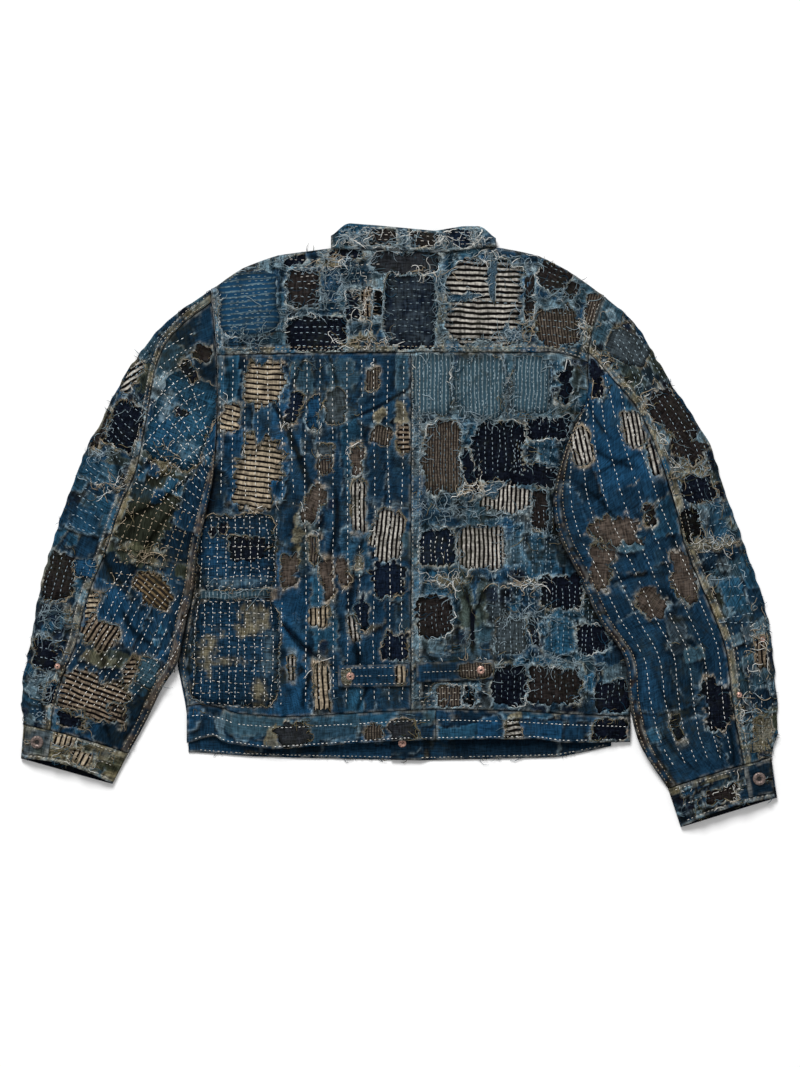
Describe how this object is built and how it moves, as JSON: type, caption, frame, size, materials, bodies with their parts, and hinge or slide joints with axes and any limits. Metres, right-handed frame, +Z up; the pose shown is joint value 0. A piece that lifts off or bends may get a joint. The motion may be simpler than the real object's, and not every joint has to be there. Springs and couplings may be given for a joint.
{
  "type": "patched boro jacket",
  "caption": "Boxy indigo work jacket of patched, darned and frayed cloth with running stitches, laid flat with its back up, with a waistband, back cinch, folded collar and buttoned cuffs.",
  "frame": {"origin": "middle of the outline, on the surface that the jacket lies on", "axes": "+X to the right of the back view, +Y towards the collar, +Z up from the surface"},
  "size_m": [0.945, 0.7534, 0.0226],
  "materials": {
    "indigo_cloth": "worn indigo cotton, matt",
    "faded_cloth": "faded, frayed indigo cotton, matt",
    "dark_cloth": "navy and charcoal cotton, matt",
    "brown_cloth": "brown cotton, matt",
    "striped_cloth": "black and cream striped cotton, matt",
    "copper": "dull, aged copper"
  },
  "bodies": {
    "root": {"front_left": "indigo_cloth", "front_right": "indigo_cloth", "back_left": "indigo_cloth", "back_right": "indigo_cloth", "waistband_back_left": "indigo_cloth", "waistband_back_right": "indigo_cloth", "waistband_front_left": "indigo_cloth", "waistband_front_right": "indigo_cloth", "sleeve_left_top": "indigo_cloth", "sleeve_left_under": "indigo_cloth", "sleeve_right_top": "indigo_cloth", "sleeve_right_under": "indigo_cloth", "cuff_left": "indigo_cloth", "cuff_right": "indigo_cloth", "cuff_left_end": "indigo_cloth", "cuff_right_end": "indigo_cloth", "cinch_left": "indigo_cloth", "cinch_right": "indigo_cloth", "yoke": "faded_cloth", "collar_back": "faded_cloth", "collar_front_left": "faded_cloth", "collar_front_right": "faded_cloth", "patch_yoke_ribbed": "faded_cloth", "patch_yoke_dark_upper": "dark_cloth", "patch_yoke_dark_lower": "dark_cloth", "patch_yoke_navy": "dark_cloth", "patch_back_grid_upper": "dark_cloth", "patch_back_grid_lower": "dark_cloth", "patch_back_navy": "dark_cloth", "patch_back_dark_low": "dark_cloth", "patch_sleeve_left_navy": "dark_cloth", "patch_sleeve_left_lattice": "dark_cloth", "patch_sleeve_right_dark": "dark_cloth", "patch_yoke_brown": "brown_cloth", "patch_back_brown": "brown_cloth", "patch_sleeve_left_brown": "brown_cloth", "patch_sleeve_right_brown": "brown_cloth", "patch_yoke_stripe": "striped_cloth", "patch_back_stripe_upper": "striped_cloth", "patch_back_stripe_lower": "striped_cloth", "patch_back_stripe_right": "striped_cloth", "button_cuff_left": "copper", "button_cuff_right": "copper", "button_tack_hem": "copper", "rivet_cinch_left": "copper", "rivet_cinch_right": "copper", "rivet_sleeve_left": "copper", "rivet_sleeve_right_upper": "copper", "rivet_sleeve_right_lower": "copper"}
  },
  "joints": []
}
